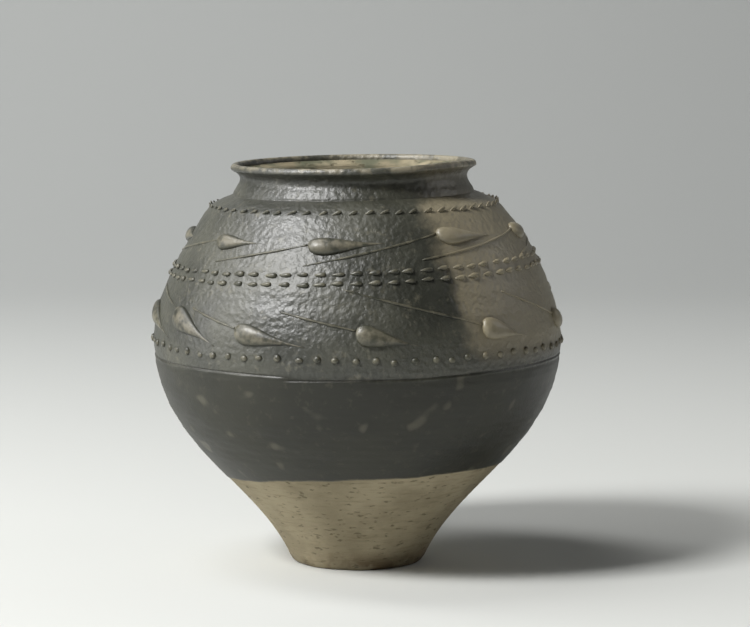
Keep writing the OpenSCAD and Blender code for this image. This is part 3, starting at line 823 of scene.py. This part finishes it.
class JarSettings(bpy.types.PropertyGroup):
    columns: bpy.props.IntProperty(
        name="Columns", description="Points round the jar on the body and the coat", default=360, min=48)
    coat_rows: bpy.props.IntProperty(
        name="Coat rows", description="Rows of points up the coat's outer side", default=212, min=90)
    trail_rings: bpy.props.IntProperty(
        name="Trail rings", description="Rings of points along a drop or a thread", default=34, min=8)
    drop_sides: bpy.props.IntProperty(
        name="Drop sides", description="Points round each of a drop's rings", default=24, min=6)
    drop_sag: bpy.props.FloatProperty(
        name="Drop sag", description="How far a drop hangs below its line, as a share of its half width",
        default=0.22, min=0.0, max=1.0, subtype="FACTOR")
    rubbed: bpy.props.FloatProperty(
        name="Rubbed", description="How pale the crests of the trailed slip are rubbed",
        default=0.38, min=0.0, max=1.0, subtype="FACTOR")
    camera_distance: bpy.props.FloatProperty(
        name="Camera distance", description="From the jar's axis to the camera", default=1.45, unit="LENGTH")
    clay_pale: colour_property("Pale clay", "The bare clay's lighter clouds", 164, 153, 127)
    clay_deep: colour_property("Deep clay", "The bare clay's darker clouds", 140, 130, 106)
    clay_drag: colour_property("Drag marks", "The marks that run round the bare clay", 120, 110, 84)
    # The neck's grey mottling, darkened further with painted shade in the hollow.
    throat_grey_and_shade: colour_property("Throat grey", "The mottling inside the neck", 98, 99, 80)
    foot_dirt: colour_property("Foot dirt", "The brown dirt at the foot's edge", 86, 66, 40)
    pit_shade: colour_property("Pits", "The shade in the clay's pits", 84, 76, 56)
    slip_dark: colour_property("Dark slip", "The coat's darker clouds", 44, 45, 36)
    slip_pale: colour_property("Pale slip", "The coat's lighter clouds", 66, 66, 54)
    slip_speck: colour_property("Slip specks", "The coat's pale specks", 108, 104, 87)
    # Painted shade for the coat below the guide line, where the belly turns downward.
    painted_low_shade: colour_property("Low slip", "The smooth coat below the guide line", 33, 33, 26)
    low_spot: colour_property("Low spots", "The faint spots below the guide line", 118, 114, 98)
    # Partly fire-flashing and partly painted sheen of the light from the right.
    tan_flash_and_sheen: colour_property("Tan flash", "The tan zone on the right", 138, 129, 106)
    thin_slip: colour_property("Thin slip", "The coat where it thins out at the dip line", 136, 127, 104)
    groove_shade: colour_property("Guide line", "The shade in the incised line", 34, 31, 22)
    worn_rim: colour_property("Worn rim", "The rim where it is rubbed", 150, 142, 120)
    bead_crest: colour_property("Bead crests", "The rubbed crests of the beads", 142, 136, 116)
    drop_crest: colour_property("Drop crests", "The rubbed crests of the drops", 158, 150, 130)
    thread_crest: colour_property("Thread crests", "The rubbed crests of the threads", 134, 128, 108)
    floor_colour: colour_property("Floor", "The stage's floor", 212, 213, 209)
    # Painted shade: the backdrop darkens from the floor colour to this one up the wall.
    wall_shade_colour: colour_property("Wall", "The stage's wall", 184, 186, 184)


class JAR_OT_body(bpy.types.Operator):
    """Builds the thrown clay body"""
    bl_idname = "jar.body"
    bl_label = "Thrown body"

    def execute(self, context):
        jar = context.scene.jar
        finish_piece(build_body(jar.columns), clay_material(jar), "thrown_body")
        return {"FINISHED"}


class JAR_OT_coat(bpy.types.Operator):
    """Builds the slip coat with its guide line"""
    bl_idname = "jar.coat"
    bl_label = "Slip coat"

    def execute(self, context):
        jar = context.scene.jar
        finish_piece(build_coat(jar.columns, jar.coat_rows), coat_material(jar), "slip_coat")
        return {"FINISHED"}


class JAR_OT_beads(bpy.types.Operator):
    """Builds the four rows of beads"""
    bl_idname = "jar.beads"
    bl_label = "Bead rows"

    def execute(self, context):
        jar = context.scene.jar
        material = trail_material("bead_slip", jar.bead_crest, jar)
        for node, *sizes in BEAD_ROWS:
            finish_piece(stroke_mesh(node, bead_strokes(*sizes), BEAD_SIDES), material, node)
        return {"FINISHED"}


class JAR_OT_drops(bpy.types.Operator):
    """Builds the drops of both bands"""
    bl_idname = "jar.drops"
    bl_label = "Drops"

    def execute(self, context):
        jar = context.scene.jar
        material = trail_material("drop_slip", jar.drop_crest, jar)
        stations = drop_stations(jar.trail_rings)
        for band, strokes, middle, half_width in BANDS:
            for i, (_, _, nose, nose_z, tail, tail_z, size) in enumerate(strokes, 1):
                ends = (nose, middle + nose_z), (tail, middle + tail_z)
                full = half_width * size, DROP_PROUD * size
                rings = trail_rings(*ends, *full, stations, drop_share, jar.drop_sides, jar.drop_sag)
                node = f"{band}_drop_{i}"
                finish_piece(stroke_mesh(node, [rings], jar.drop_sides), material, node)
        return {"FINISHED"}


class JAR_OT_threads(bpy.types.Operator):
    """Builds the threads that lead to the drops"""
    bl_idname = "jar.threads"
    bl_label = "Threads"

    def execute(self, context):
        jar = context.scene.jar
        material = trail_material("thread_slip", jar.thread_crest, jar)
        stations = thread_stations(jar.trail_rings)
        for band, strokes, middle, _ in BANDS:
            for i, (start, start_z, nose, nose_z, *_) in enumerate(strokes, 1):
                ends = (start, middle + start_z), (nose, middle + nose_z)
                rings = trail_rings(*ends, THREAD_W, THREAD_PROUD, stations, thread_share, THREAD_SIDES)
                node = f"{band}_thread_{i}"
                finish_piece(stroke_mesh(node, [rings], THREAD_SIDES), material, node)
        return {"FINISHED"}


class JAR_OT_stage(bpy.types.Operator):
    """Builds the floor and backdrop, the lights and the camera"""
    bl_idname = "jar.stage"
    bl_label = "Stage"

    def execute(self, context):
        scene = context.scene
        backdrop = backdrop_mesh()
        backdrop.data.materials.append(backdrop_material(scene.jar))
        for lamp in LAMPS:
            area_light(*lamp)
        world = bpy.data.worlds.new("studio")
        world.use_nodes = True
        sky = world.node_tree.nodes["Background"]
        sky.inputs["Color"].default_value = (1, 1, 1, 1)
        sky.inputs["Strength"].default_value = SKY_STRENGTH
        scene.world = world
        camera = bpy.data.objects.new("camera", bpy.data.cameras.new("camera"))
        scene.collection.objects.link(camera)
        camera.data.lens = LENS
        camera.data.sensor_width = SENSOR_WIDTH
        camera.location = (CAMERA_SIDE, -scene.jar.camera_distance, CAMERA_UP)
        camera.rotation_euler = (math.radians(90 - CAMERA_DOWN), 0, 0)
        scene.camera = camera
        scene.view_settings.view_transform = "Standard"
        return {"FINISHED"}


class JAR_PT_panel(bpy.types.Panel):
    """The jar's settings and its pieces"""
    bl_label = "Slip-trailed Jar"
    bl_idname = "JAR_PT_panel"
    bl_space_type = "VIEW_3D"
    bl_region_type = "UI"
    bl_category = "Jar"

    def draw(self, context):
        for key in JarSettings.__annotations__:
            self.layout.prop(context.scene.jar, key)
        for operator in OPERATORS:
            self.layout.operator(operator.bl_idname)


OPERATORS = (JAR_OT_body, JAR_OT_coat, JAR_OT_beads, JAR_OT_drops, JAR_OT_threads, JAR_OT_stage)
CLASSES = (JarSettings,) + OPERATORS + (JAR_PT_panel,)


def register():
    for item in CLASSES:
        bpy.utils.register_class(item)
    bpy.types.Scene.jar = bpy.props.PointerProperty(type=JarSettings)


def unregister():
    del bpy.types.Scene.jar
    for item in reversed(CLASSES):
        bpy.utils.unregister_class(item)


def main():
    register()
    for operator in OPERATORS:
        getattr(bpy.ops.jar, operator.bl_idname.split(".")[1])()


if __name__ == "__main__":
    main()
